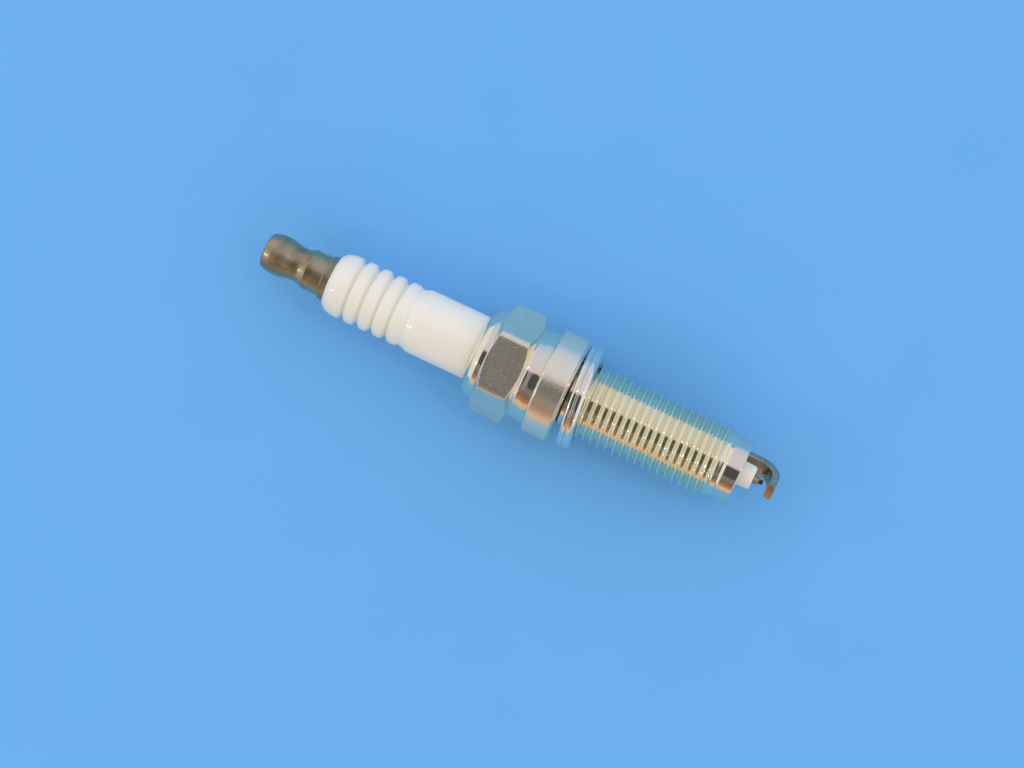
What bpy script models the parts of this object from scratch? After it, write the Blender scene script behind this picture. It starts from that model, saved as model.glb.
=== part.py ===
"""A motorcycle spark plug, lying on its side, with every piece it is assembled from.

The plug's axis is the world X axis and the firing end points to +X. The origin is on
the axis, in the plane of the collar's seat. Two flats of the hexagon face up and down.
Each turned piece is drawn upright, terminal end up, and the empty "plug_axis" lays the
whole plug down, so the heights below are distances along the plug's axis.
"""

import math

import bmesh
import bpy

# Sizes are in millimetres and angles in degrees. Heights are measured from the seat.
MM = 0.001
SEGMENTS = 28
THREAD_STEPS = 22

# Overall heights
INSULATOR_TOP = 40.8
TERMINAL_HEIGHT = 11.3
REACH = 28.8
NOSE_PROJECTION = 2.1
SPARK_GAP = 0.8

# Shell: hexagon, collar, crimp and thread
HEX_FLATS = 16.0
HEX_CORNER_RATIO = 1.13
HEX_BASE = 7.4
HEX_TOP = 13.5
COLLAR_TOP = 4.5
CRIMP_HEIGHT = 2.2
GROOVE_BULGE = 0.2
THREAD_DIAMETER = 12.0
THREAD_PITCH = 1.25
THREAD_RELIEF = 1.4
PLAIN_END = 2.7
THREAD_RUN = 0.4

# Insulator
TALC_GAP = 0.75
RIB_COUNT = 5
RIB_PITCH = 2.46
RIB_DEPTH = 0.68
FIRST_RIB = 2.65
CORE_BORE_RADIUS = 1.95
SHOULDER_TOP = 9.4
SHOULDER_BASE = 3.7

# Terminal stud
TERMINAL_RADIUS = 3.22
TERMINAL_END_RADIUS = 2.75
TERMINAL_NECK_RADIUS = 2.76
TERMINAL_SHOULDER_RADIUS = 3.26
TERMINAL_FLANGE_RADIUS = 3.7
TERMINAL_FLANGE_HEIGHT = 1.0

# Firing end
ELECTRODE_RADIUS = 1.1
ELECTRODE_CORE_RADIUS = 0.6
ELECTRODE_NECK_RADIUS = 0.78
IRIDIUM_RADIUS = 0.38
IRIDIUM_PROJECTION = 0.6
ELECTRODE_PROJECTION = 1.6
STRAP_WIDTH = 2.65
STRAP_THICKNESS = 1.3
STRAP_BEND_RADIUS = 3.1
STRAP_RADIUS = 4.05
STRAP_PAST_AXIS = 1.57
STRAP_DIRECTION = 151.7
STRAP_EDGE = 0.18

# Gasket
GASKET_HEIGHT = 2.3
GASKET_BORE_CLEARANCE = 0.2
GASKET_LEAN = 4.7

# Fits: CLEARANCE is the space left between pieces that touch
CLEARANCE = 0.05
SHELL_WALL = 1.15

# Sizes that follow from those above
HEX_RADIUS = HEX_FLATS / 2.0
COLLAR_RADIUS = HEX_RADIUS + 0.5
GROOVE_RADIUS = HEX_RADIUS - 0.4
CRIMP_RADIUS = HEX_RADIUS - 0.6
HEAD_BORE_RADIUS = HEX_RADIUS - 1.95
BARREL_RADIUS = HEAD_BORE_RADIUS - CLEARANCE - TALC_GAP
RIB_RADIUS = BARREL_RADIUS - 0.15
CRIMP_TOP = HEX_TOP + CRIMP_HEIGHT
LIP_BASE = HEX_TOP + 0.7

THREAD_RADIUS = THREAD_DIAMETER / 2.0
THREAD_DEPTH = 0.6134 * THREAD_PITCH
THREAD_ROOT_RADIUS = THREAD_RADIUS - THREAD_DEPTH
THREAD_BASE = REACH - PLAIN_END
END_RADIUS = THREAD_ROOT_RADIUS - 0.18
BODY_BORE_RADIUS = THREAD_ROOT_RADIUS - SHELL_WALL
END_BORE_RADIUS = BODY_BORE_RADIUS - 0.35
LEDGE_RADIUS = BODY_BORE_RADIUS - 1.0
LEDGE_HEIGHT = -0.5 * REACH
LEDGE_SLOPE = 0.58
PACKING_HEIGHT = 0.5

BODY_RADIUS = BODY_BORE_RADIUS - CLEARANCE
NOSE_ROOT_RADIUS = LEDGE_RADIUS - 2.0 * CLEARANCE
NOSE_TIP_RADIUS = 0.62 * NOSE_ROOT_RADIUS
NOSE_TIP = -(REACH + NOSE_PROJECTION)
NOSE_BORE_RADIUS = ELECTRODE_RADIUS + CLEARANCE

TERMINAL_TOP = INSULATOR_TOP + TERMINAL_HEIGHT
CORE_FILL_RADIUS = CORE_BORE_RADIUS - CLEARANCE
ELECTRODE_SEAT = LEDGE_HEIGHT + 3.2
ELECTRODE_HEAD_RADIUS = CORE_BORE_RADIUS - 0.25
ELECTRODE_HEAD_TOP = ELECTRODE_SEAT + 1.8
ELECTRODE_END = NOSE_TIP - (ELECTRODE_PROJECTION - IRIDIUM_PROJECTION)
RESISTOR_BASE = ELECTRODE_SEAT + 5.2
RESISTOR_TOP = RESISTOR_BASE + 8.0
UPPER_GLASS_TOP = RESISTOR_TOP + 7.0
STEM_END = RESISTOR_TOP + 2.0
STEM_NECK_RADIUS = CORE_FILL_RADIUS - 0.5

TIP_HEIGHT = NOSE_TIP - ELECTRODE_PROJECTION
STRAP_INNER_FACE = TIP_HEIGHT - SPARK_GAP

GASKET_RADIUS = COLLAR_RADIUS - 0.25
GASKET_BORE_RADIUS = THREAD_RADIUS + GASKET_BORE_CLEARANCE
GASKET_CENTER = -(
    CLEARANCE
    + 0.5 * GASKET_HEIGHT * math.cos(math.radians(GASKET_LEAN))
    + GASKET_RADIUS * math.sin(math.radians(GASKET_LEAN))
)


def new_collection(name):
    collection = bpy.data.collections.new(name)
    bpy.context.scene.collection.children.link(collection)
    return collection


def new_material(name, color, roughness, metallic):
    material = bpy.data.materials.new(name)
    material.use_nodes = True
    shader = material.node_tree.nodes["Principled BSDF"]
    shader.inputs["Base Color"].default_value = (*color, 1.0)
    shader.inputs["Roughness"].default_value = roughness
    shader.inputs["Metallic"].default_value = metallic
    material.diffuse_color = (*color, 1.0)
    return material


def new_empty(name, collection, parent=None):
    empty = bpy.data.objects.new(name, None)
    empty.empty_display_size = 0.01
    collection.objects.link(empty)
    empty.parent = parent
    return empty


def add_object(name, data, material, parent, collection):
    obj = bpy.data.objects.new(name, data)
    data.materials.append(material)
    collection.objects.link(obj)
    obj.parent = parent
    return obj


def turned(name, profile, material, parent, collection, segments=SEGMENTS):
    """Turn a profile of (radius, height) points about local Z.

    The points run down the outer side and, for a hollow piece, back up the bore. A profile
    that starts and ends on the axis is left open there, and the turning closes it.
    """
    on_axis = profile[0][0] == 0.0 and profile[-1][0] == 0.0
    mesh = bpy.data.meshes.new(name)
    points = [(radius * MM, 0.0, height * MM) for radius, height in profile]
    edges = [(i, i + 1) for i in range(len(points) - 1)]
    if not on_axis:
        edges.append((len(points) - 1, 0))
    mesh.from_pydata(points, edges, [])
    obj = add_object(name, mesh, material, parent, collection)
    screw = obj.modifiers.new("Turn", "SCREW")
    screw.axis = "Z"
    screw.steps = segments
    screw.render_steps = segments
    screw.use_merge_vertices = True
    screw.merge_threshold = 1e-6
    return obj


def boolean(obj, operand, operation):
    modifier = obj.modifiers.new(operation.title(), "BOOLEAN")
    modifier.operation = operation
    modifier.solver = "EXACT"
    modifier.object = operand
    return modifier


def hide_helper(obj):
    obj.hide_render = True
    obj.display_type = "WIRE"


def finish(obj, angle=32.0):
    """Make the modelled shape the object's own mesh, smooth wherever it is round."""
    graph = bpy.context.evaluated_depsgraph_get()
    mesh = bpy.data.meshes.new_from_object(obj.evaluated_get(graph))
    mesh.name = obj.name
    obj.modifiers.clear()
    obj.data = mesh
    mesh.shade_smooth()
    mesh.set_sharp_from_angle(angle=math.radians(angle))


def arc(center, radius, start, end, steps):
    """Points on a circle in a profile's plane, from one angle to another in degrees."""
    points = []
    for i in range(steps + 1):
        angle = math.radians(start + (end - start) * i / steps)
        x = center[0] + radius * math.cos(angle)
        y = center[1] + radius * math.sin(angle)
        points.append((x, y))
    return points


def terminal_profile():
    """The solid terminal: swelling head, waist, shoulder and flange, then the stem."""
    top = TERMINAL_TOP
    radius = TERMINAL_RADIUS
    neck = TERMINAL_NECK_RADIUS
    shoulder = TERMINAL_SHOULDER_RADIUS
    flange_top = INSULATOR_TOP + CLEARANCE + TERMINAL_FLANGE_HEIGHT
    stem_step = UPPER_GLASS_TOP + 2.0 * CLEARANCE
    points = [(0.0, top)]
    points += arc((TERMINAL_END_RADIUS - 0.45, top - 0.45), 0.45, 90.0, 15.0, 3)
    points += [(radius - 0.2, top - 1.1), (radius, top - 2.1), (radius, top - 2.8)]
    points += [(radius - 0.12, top - 3.6), (neck + 0.1, top - 4.6), (neck, top - 5.3)]
    points += [(neck, top - 5.9), (neck + 0.14, top - 6.6)]
    points += [(shoulder - 0.04, top - 7.2), (shoulder, flange_top)]
    points += [(TERMINAL_FLANGE_RADIUS - 0.15, flange_top)]
    points += [(TERMINAL_FLANGE_RADIUS, flange_top - 0.2)]
    points += [(TERMINAL_FLANGE_RADIUS, INSULATOR_TOP + CLEARANCE)]
    points += [(CORE_FILL_RADIUS, INSULATOR_TOP + CLEARANCE)]
    points += [(CORE_FILL_RADIUS, stem_step)]
    points += [(STEM_NECK_RADIUS, stem_step)]
    for i in range(3):
        height = stem_step - 0.7 - 1.2 * i
        points += [(STEM_NECK_RADIUS, height), (STEM_NECK_RADIUS - 0.2, height - 0.2)]
        points += [(STEM_NECK_RADIUS - 0.2, height - 0.5)]
        points += [(STEM_NECK_RADIUS, height - 0.7)]
    points += [(STEM_NECK_RADIUS, STEM_END + 0.3), (STEM_NECK_RADIUS - 0.3, STEM_END)]
    points += [(0.0, STEM_END)]
    return points


def rib_points():
    """Five rounded ribs, each falling to the narrow groove below it."""
    first_crest = INSULATOR_TOP - FIRST_RIB
    groove_radius = RIB_RADIUS - RIB_DEPTH
    points = []
    for i in range(6):
        angle = math.radians(90.0 - 90.0 * i / 5)
        radius = RIB_RADIUS - 1.5 + 1.5 * math.cos(angle)
        points.append((radius, first_crest + FIRST_RIB * math.sin(angle)))
    for rib in range(RIB_COUNT):
        groove = first_crest - RIB_PITCH * rib - 1.08
        last = rib == RIB_COUNT - 1
        foot = groove_radius + (0.36 if last else 0.0)
        points.append((RIB_RADIUS - 0.12, groove + 0.62))
        points.append((foot + 0.18, groove + 0.2))
        points.append((foot, groove))
        if last:
            break
        points.append((groove_radius + 0.2, groove - 0.22))
        points.append((RIB_RADIUS - 0.1, groove - 0.78))
        points.append((RIB_RADIUS, groove - 1.3))
    return points


def insulator_profile():
    """Ribbed head, barrel, shoulder held in the shell, body, seat and nose, then the bore."""
    ribs = rib_points()
    groove = ribs[-1][1]
    step = LEDGE_HEIGHT + PACKING_HEIGHT + 2.0 * CLEARANCE
    step_outer = step - LEDGE_SLOPE * (BODY_BORE_RADIUS - BODY_RADIUS)
    step_inner = step - LEDGE_SLOPE * (BODY_BORE_RADIUS - NOSE_ROOT_RADIUS)
    shoulder = HEAD_BORE_RADIUS - CLEARANCE
    taper = shoulder - BODY_RADIUS
    corner = 0.5
    points = ribs
    points += [(BARREL_RADIUS - 0.1, groove - 0.8), (BARREL_RADIUS, groove - 1.7)]
    points += [(BARREL_RADIUS, SHOULDER_TOP), (shoulder, SHOULDER_TOP - TALC_GAP)]
    points += [(shoulder, SHOULDER_BASE), (BODY_RADIUS, SHOULDER_BASE - taper)]
    points += [(BODY_RADIUS, step_outer), (NOSE_ROOT_RADIUS, step_inner)]
    points += [(NOSE_ROOT_RADIUS - 0.08, LEDGE_HEIGHT - 2.0)]
    tip = (NOSE_TIP_RADIUS - corner, NOSE_TIP + corner)
    points += arc(tip, corner, 0.0, -90.0, 3)
    points += [(NOSE_BORE_RADIUS, NOSE_TIP), (NOSE_BORE_RADIUS, ELECTRODE_SEAT)]
    seat_rise = CORE_BORE_RADIUS - NOSE_BORE_RADIUS
    points += [(CORE_BORE_RADIUS, ELECTRODE_SEAT + seat_rise)]
    points += [(CORE_BORE_RADIUS, INSULATOR_TOP - 0.2)]
    points += [(CORE_BORE_RADIUS + 0.2, INSULATOR_TOP)]
    return points


def upper_glass_profile():
    """Conductive glass fused round the end of the terminal's stem."""
    pocket = STEM_NECK_RADIUS + CLEARANCE
    base = RESISTOR_TOP + CLEARANCE
    return [
        (CORE_FILL_RADIUS, UPPER_GLASS_TOP),
        (CORE_FILL_RADIUS, base),
        (0.0, base),
        (0.0, STEM_END - CLEARANCE),
        (pocket, STEM_END - CLEARANCE),
        (pocket, UPPER_GLASS_TOP),
    ]


def resistor_profile():
    return [
        (0.0, RESISTOR_TOP),
        (CORE_FILL_RADIUS, RESISTOR_TOP),
        (CORE_FILL_RADIUS, RESISTOR_BASE),
        (0.0, RESISTOR_BASE),
    ]


def lower_glass_profile():
    """Conductive glass between the resistor and the head of the center electrode."""
    pocket = ELECTRODE_HEAD_RADIUS + CLEARANCE
    base = ELECTRODE_SEAT + CORE_BORE_RADIUS - NOSE_BORE_RADIUS + 2.0 * CLEARANCE
    return [
        (0.0, RESISTOR_BASE - CLEARANCE),
        (CORE_FILL_RADIUS, RESISTOR_BASE - CLEARANCE),
        (CORE_FILL_RADIUS, base),
        (pocket, base),
        (pocket, ELECTRODE_HEAD_TOP + CLEARANCE),
        (0.0, ELECTRODE_HEAD_TOP + CLEARANCE),
    ]


def electrode_profile():
    """Nickel sheath with a seated head, a bore for its copper core and a pocket for its tip."""
    rise = 2.4 * CLEARANCE - CLEARANCE
    head = ELECTRODE_HEAD_RADIUS
    end = ELECTRODE_END
    core = ELECTRODE_CORE_RADIUS + CLEARANCE
    pocket = IRIDIUM_RADIUS + CLEARANCE
    return [
        (head - 0.2, ELECTRODE_HEAD_TOP),
        (head, ELECTRODE_HEAD_TOP - 0.3),
        (head, ELECTRODE_SEAT + rise + head - ELECTRODE_RADIUS),
        (ELECTRODE_RADIUS, ELECTRODE_SEAT + rise),
        (ELECTRODE_RADIUS, NOSE_TIP + 1.0),
        (ELECTRODE_NECK_RADIUS, NOSE_TIP),
        (IRIDIUM_RADIUS + 0.17, end),
        (pocket, end),
        (pocket, end + IRIDIUM_PROJECTION + CLEARANCE),
        (0.0, end + IRIDIUM_PROJECTION + CLEARANCE),
        (0.0, NOSE_TIP + 2.0),
        (core, NOSE_TIP + 2.0),
        (core, ELECTRODE_HEAD_TOP),
    ]


def electrode_core_profile():
    return [
        (0.0, ELECTRODE_HEAD_TOP),
        (ELECTRODE_CORE_RADIUS, ELECTRODE_HEAD_TOP),
        (ELECTRODE_CORE_RADIUS, NOSE_TIP + 2.0 + CLEARANCE),
        (0.0, NOSE_TIP + 2.0 + CLEARANCE),
    ]


def iridium_profile():
    return [
        (0.0, ELECTRODE_END + IRIDIUM_PROJECTION),
        (IRIDIUM_RADIUS, ELECTRODE_END + IRIDIUM_PROJECTION),
        (IRIDIUM_RADIUS, TIP_HEIGHT + 0.06),
        (IRIDIUM_RADIUS - 0.06, TIP_HEIGHT),
        (0.0, TIP_HEIGHT),
    ]


def shell_profile():
    """Crimp, bulged groove, collar, thread core and plain end, then the stepped bore."""
    lip = BARREL_RADIUS + CLEARANCE
    shoulder = CRIMP_RADIUS - 1.45
    taper = HEAD_BORE_RADIUS - BODY_BORE_RADIUS
    groove_edge = GROOVE_RADIUS - GROOVE_BULGE
    bulge_height = COLLAR_TOP + 0.35 * (HEX_BASE - COLLAR_TOP)
    points = [(lip, CRIMP_TOP)]
    points += arc((shoulder, CRIMP_TOP - 1.45), 1.45, 90.0, 0.0, 5)
    points += [(CRIMP_RADIUS, HEX_BASE + 0.2), (groove_edge, HEX_BASE)]
    points += [(GROOVE_RADIUS - 0.06, bulge_height + 0.6), (GROOVE_RADIUS, bulge_height)]
    points += [(groove_edge, COLLAR_TOP + 0.2), (groove_edge + 0.2, COLLAR_TOP)]
    points += [(COLLAR_RADIUS - 0.3, COLLAR_TOP), (COLLAR_RADIUS, COLLAR_TOP - 0.3)]
    points += [(COLLAR_RADIUS, 0.4), (COLLAR_RADIUS - 0.4, 0.0)]
    points += [(THREAD_ROOT_RADIUS, 0.0), (THREAD_ROOT_RADIUS, -THREAD_BASE)]
    points += [(END_RADIUS, -THREAD_BASE - 0.2), (END_RADIUS, 0.15 - REACH)]
    points += [(END_RADIUS - 0.15, -REACH), (END_BORE_RADIUS, -REACH)]
    points += [(END_BORE_RADIUS, LEDGE_HEIGHT - 2.6), (LEDGE_RADIUS, LEDGE_HEIGHT - 2.0)]
    points += [(LEDGE_RADIUS, LEDGE_HEIGHT - LEDGE_SLOPE)]
    points += [(BODY_BORE_RADIUS, LEDGE_HEIGHT)]
    points += [(BODY_BORE_RADIUS, SHOULDER_BASE - taper - CLEARANCE)]
    points += [(HEAD_BORE_RADIUS, SHOULDER_BASE - CLEARANCE)]
    points += [(HEAD_BORE_RADIUS, LIP_BASE - 0.3), (lip + 0.3, LIP_BASE)]
    points += [(lip, LIP_BASE)]
    return points


def hexagon_profile():
    """A ring round the shell, chamfered at both ends, from which the hexagon is cut."""
    corner = HEX_RADIUS * HEX_CORNER_RATIO
    start = HEX_RADIUS - 0.15
    drop = (corner - start) * math.tan(math.radians(30.0))
    return [
        (start, HEX_TOP),
        (corner, HEX_TOP - drop),
        (corner, HEX_BASE + drop),
        (start, HEX_BASE),
        (CRIMP_RADIUS - 0.5, HEX_BASE),
        (CRIMP_RADIUS - 0.5, HEX_TOP),
    ]


def hexagon_prism(parent, collection, material):
    """The six flats, as a prism a little taller than the hexagon."""
    height = HEX_TOP - HEX_BASE + 2.0
    radius = HEX_RADIUS / math.cos(math.radians(30.0))
    bm = bmesh.new()
    bmesh.ops.create_cone(
        bm,
        cap_ends=True,
        segments=6,
        radius1=radius * MM,
        radius2=radius * MM,
        depth=height * MM,
    )
    mesh = bpy.data.meshes.new("hexagon_flats")
    bm.to_mesh(mesh)
    bm.free()
    prism = add_object("hexagon_flats", mesh, material, parent, collection)
    prism.location = (0.0, 0.0, 0.5 * (HEX_TOP + HEX_BASE) * MM)
    return prism


def thread_ridge(parent, collection, material):
    """One 60 degree ridge wound down the shell, fading into the core at both ends."""
    sink = 0.2
    crest_half = THREAD_PITCH / 14.0
    slope = math.tan(math.radians(30.0))
    base_half = crest_half + (THREAD_DEPTH + sink) * slope
    top = -THREAD_RELIEF - 0.5 * THREAD_PITCH
    turns = (THREAD_BASE - THREAD_RELIEF - THREAD_PITCH) / THREAD_PITCH
    steps = round(turns * THREAD_STEPS)
    fade = THREAD_RUN * THREAD_STEPS
    bm = bmesh.new()
    before = None
    for i in range(steps + 1):
        angle = 2.0 * math.pi * (i + 0.5) / THREAD_STEPS
        rise = min(1.0, i / fade, (steps - i) / fade)
        inner = THREAD_ROOT_RADIUS - sink
        outer = inner + (THREAD_DEPTH + sink) * (0.12 + 0.88 * math.sin(0.5 * math.pi * rise))
        middle = top - THREAD_PITCH * i / THREAD_STEPS
        section = (
            (inner, middle + base_half),
            (outer, middle + crest_half),
            (outer, middle - crest_half),
            (inner, middle - base_half),
        )
        ring = []
        for radius, height in section:
            x = radius * math.cos(angle)
            y = radius * math.sin(angle)
            ring.append(bm.verts.new((x * MM, y * MM, height * MM)))
        if before is None:
            bm.faces.new(ring)
        else:
            for j in range(4):
                k = (j + 1) % 4
                bm.faces.new((before[j], before[k], ring[k], ring[j]))
        before = ring
    bm.faces.new(list(reversed(before)))
    bmesh.ops.recalc_face_normals(bm, faces=bm.faces)
    mesh = bpy.data.meshes.new("thread_ridge")
    bm.to_mesh(mesh)
    bm.free()
    return add_object("thread_ridge", mesh, material, parent, collection)


def add_shell(parent, parts, helpers, material):
    shell = turned("shell", shell_profile(), material, parent, parts)
    hexagon = turned("hexagon", hexagon_profile(), material, parent, helpers, 72)
    prism = hexagon_prism(parent, helpers, material)
    ridge = thread_ridge(parent, helpers, material)
    boolean(hexagon, prism, "INTERSECT")
    boolean(shell, hexagon, "UNION")
    boolean(shell, ridge, "UNION")
    for helper in (hexagon, prism, ridge):
        hide_helper(helper)
    finish(shell)


def packing_ring_profile(height):
    """A round steel wire ring in the space between the insulator and the shell."""
    inner = BARREL_RADIUS + CLEARANCE
    outer = HEAD_BORE_RADIUS - CLEARANCE
    radius = 0.5 * (outer - inner)
    return arc((0.5 * (inner + outer), height), radius, 90.0, -210.0, 5)


def talc_profile(ring_radius, upper, lower):
    """Pressed powder that fills the space between the two packing rings."""
    top = upper - ring_radius - CLEARANCE
    base = lower + ring_radius + CLEARANCE
    inner = BARREL_RADIUS + CLEARANCE
    outer = HEAD_BORE_RADIUS - CLEARANCE
    return [(outer, top), (outer, base), (inner, base), (inner, top)]


def seat_packing_profile():
    """A conical steel washer between the shell's ledge and the insulator's step."""
    inner = LEDGE_RADIUS + 2.0 * CLEARANCE
    outer = BODY_BORE_RADIUS - CLEARANCE
    points = []
    corners = ((outer, 1.0), (outer, 0.0), (inner, 0.0), (inner, 1.0))
    for radius, part in corners:
        cone = LEDGE_HEIGHT - LEDGE_SLOPE * (BODY_BORE_RADIUS - radius)
        points.append((radius, cone + CLEARANCE + PACKING_HEIGHT * part))
    return points


def gasket_profile():
    """Folded sheet ring: two rounded layers that meet in a seam round the rim."""
    top = 0.5 * GASKET_HEIGHT
    upper = 0.21 * GASKET_HEIGHT
    lower = 0.29 * GASKET_HEIGHT
    seam = top - 2.0 * upper
    rim = GASKET_RADIUS
    hole = GASKET_BORE_RADIUS
    points = arc((rim - upper, top - upper), upper, 90.0, -60.0, 4)
    points.append((rim - upper - 0.05, seam - 0.02))
    points += arc((rim - lower, lower - top), lower, 60.0, -90.0, 4)
    points += [(hole + 0.35, -top), (hole, 0.35 - top), (hole, top - 0.35)]
    points += [(hole + 0.35, top)]
    return points


def strap_outline():
    """Side view of the bent strap as (distance from the axis, height) points."""
    half = 0.5 * STRAP_THICKNESS
    outer = STRAP_BEND_RADIUS + half
    inner = STRAP_BEND_RADIUS - half
    tip_height = STRAP_INNER_FACE - half
    center = (STRAP_RADIUS - STRAP_BEND_RADIUS, tip_height + STRAP_BEND_RADIUS)
    weld = -(REACH + CLEARANCE)
    points = [(STRAP_RADIUS - half, weld), (STRAP_RADIUS + half, weld)]
    points += arc(center, outer, 0.0, -90.0, 12)
    points += [(-STRAP_PAST_AXIS, tip_height - half), (-STRAP_PAST_AXIS, tip_height + half)]
    points += arc(center, inner, -90.0, 0.0, 12)
    return points


def add_ground_electrode(parent, parts, material):
    """A flat strap welded to the end of the shell and bent over the center electrode."""
    curve = bpy.data.curves.new("ground_electrode", "CURVE")
    curve.dimensions = "2D"
    curve.fill_mode = "BOTH"
    curve.extrude = (0.5 * STRAP_WIDTH - STRAP_EDGE) * MM
    curve.bevel_depth = STRAP_EDGE * MM
    curve.bevel_resolution = 1
    curve.offset = -STRAP_EDGE * MM
    outline = strap_outline()
    spline = curve.splines.new("POLY")
    spline.points.add(len(outline) - 1)
    for point, (radius, height) in zip(spline.points, outline):
        point.co = (radius * MM, height * MM, 0.0, 1.0)
    spline.use_cyclic_u = True
    strap = add_object("ground_electrode", curve, material, parent, parts)
    strap.rotation_euler = (math.radians(90.0), 0.0, math.radians(STRAP_DIRECTION))


def main():
    for obj in list(bpy.data.objects):
        bpy.data.objects.remove(obj, do_unlink=True)

    parts = new_collection("Spark plug")
    helpers = new_collection("Cutters")

    plated = new_material("zinc_nickel_plate", (0.62, 0.60, 0.54), 0.22, 1.0)
    terminal = new_material("dark_nickel_plate", (0.24, 0.20, 0.16), 0.2, 1.0)
    glaze = new_material("white_glaze", (0.88, 0.86, 0.8), 0.08, 0.0)
    nickel = new_material("nickel_alloy", (0.36, 0.33, 0.29), 0.35, 1.0)
    copper = new_material("copper", (0.8, 0.42, 0.28), 0.35, 1.0)
    iridium = new_material("iridium", (0.12, 0.12, 0.13), 0.3, 1.0)
    glass = new_material("conductive_glass", (0.06, 0.06, 0.065), 0.3, 0.0)
    carbon = new_material("resistor_carbon", (0.03, 0.03, 0.03), 0.7, 0.0)
    steel = new_material("packing_steel", (0.5, 0.5, 0.5), 0.4, 1.0)
    talc = new_material("pressed_talc", (0.75, 0.75, 0.72), 0.9, 0.0)
    ring = new_material("gasket_plate", (0.6, 0.57, 0.5), 0.3, 1.0)

    axis = new_empty("plug_axis", parts)
    axis.rotation_euler = (0.0, math.radians(-90.0), 0.0)

    wire = 0.5 * (HEAD_BORE_RADIUS - BARREL_RADIUS) - CLEARANCE
    upper_ring = LIP_BASE - 0.3 - wire - CLEARANCE
    lower_ring = SHOULDER_TOP + wire + CLEARANCE

    pieces = (
        ("terminal_stud", terminal_profile(), terminal),
        ("insulator", insulator_profile(), glaze),
        ("upper_glass_seal", upper_glass_profile(), glass),
        ("resistor", resistor_profile(), carbon),
        ("lower_glass_seal", lower_glass_profile(), glass),
        ("center_electrode", electrode_profile(), nickel),
        ("center_electrode_core", electrode_core_profile(), copper),
        ("iridium_tip", iridium_profile(), iridium),
        ("upper_packing_ring", packing_ring_profile(upper_ring), steel),
        ("talc_seal", talc_profile(wire, upper_ring, lower_ring), talc),
        ("lower_packing_ring", packing_ring_profile(lower_ring), steel),
        ("seat_packing", seat_packing_profile(), steel),
    )
    for name, profile, material in pieces:
        finish(turned(name, profile, material, axis, parts))

    add_shell(axis, parts, helpers, plated)
    add_ground_electrode(axis, parts, nickel)

    hinge = new_empty("gasket_axis", parts, axis)
    hinge.location = (0.0, 0.0, GASKET_CENTER * MM)
    hinge.rotation_euler = (math.radians(GASKET_LEAN), 0.0, 0.0)
    finish(turned("gasket", gasket_profile(), ring, hinge, parts))


main()
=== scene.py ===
"""Looks of the spark plug: fine meshes, procedural materials, a plain floor, soft light, camera.

Lengths below are in millimetres until a mesh, a light or the camera is made. The plug's axis
is the X axis, x = 0 is the collar's seat, and stations along it come from the frame's boxes.
"""

import math

import bmesh
import bpy
from mathutils import Matrix, Vector


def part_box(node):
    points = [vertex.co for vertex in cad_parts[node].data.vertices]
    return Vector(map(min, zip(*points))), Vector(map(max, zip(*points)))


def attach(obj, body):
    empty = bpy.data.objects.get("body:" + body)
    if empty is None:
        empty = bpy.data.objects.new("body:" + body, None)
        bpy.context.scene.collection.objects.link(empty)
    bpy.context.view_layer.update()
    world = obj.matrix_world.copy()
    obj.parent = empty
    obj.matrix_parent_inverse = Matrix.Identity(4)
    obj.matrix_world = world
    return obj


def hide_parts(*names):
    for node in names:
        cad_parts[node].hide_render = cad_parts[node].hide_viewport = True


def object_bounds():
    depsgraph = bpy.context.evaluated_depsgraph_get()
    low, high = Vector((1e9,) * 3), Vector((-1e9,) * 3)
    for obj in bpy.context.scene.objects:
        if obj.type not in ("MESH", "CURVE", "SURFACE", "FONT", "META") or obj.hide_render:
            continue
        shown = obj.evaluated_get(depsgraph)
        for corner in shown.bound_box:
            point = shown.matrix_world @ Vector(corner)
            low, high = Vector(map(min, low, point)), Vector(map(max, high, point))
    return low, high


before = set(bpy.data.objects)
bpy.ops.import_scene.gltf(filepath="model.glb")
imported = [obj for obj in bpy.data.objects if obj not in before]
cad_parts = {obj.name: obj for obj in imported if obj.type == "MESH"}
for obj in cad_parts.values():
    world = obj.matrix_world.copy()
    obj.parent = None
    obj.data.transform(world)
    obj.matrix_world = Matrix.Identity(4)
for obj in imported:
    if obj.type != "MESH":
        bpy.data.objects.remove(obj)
cad_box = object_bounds()

MM = 0.001
SIDES = 192


def box(node):
    """A CAD node's lowest and highest corner, in millimetres."""
    lo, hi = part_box(node)
    return [v / MM for v in lo], [v / MM for v in hi]


SHELL_LO, SHELL_HI = box("shell")
CERAMIC_LO, CERAMIC_HI = box("insulator")
TERMINAL_LO, TERMINAL_HI = box("terminal_stud")
CENTER_LO, CENTER_HI = box("center_electrode")
TIP_LO, TIP_HI = box("iridium_tip")
STRAP_LO, STRAP_HI = box("ground_electrode")
GASKET_LO, GASKET_HI = box("gasket")

# Shell: stations along X, then radii
CRIMP_X = SHELL_LO[0]
END_X = SHELL_HI[0]
HEX_LENGTH = 6.1
HEX_X0 = CRIMP_X + 2.2
HEX_X1 = HEX_X0 + HEX_LENGTH
COLLAR_X = -4.5
THREAD_X0 = 1.1
THREAD_X1 = END_X - 2.75
COLLAR_R = SHELL_HI[2]
FLAT_R = 8.0
GROOVE_R = FLAT_R - 0.4
CRIMP_R = FLAT_R - 0.6

# Thread: 60 degree flanks, a rounded crest and a sharper root
PITCH = 1.25
THREAD_R = 6.0
ROOT_R = THREAD_R - 0.6134 * PITCH
CREST_WIDTH = 0.16
CREST_FILLET = 0.13
ROOT_FILLET = 0.04
HALF_THREAD_ANGLE = math.radians(30.0)

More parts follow.
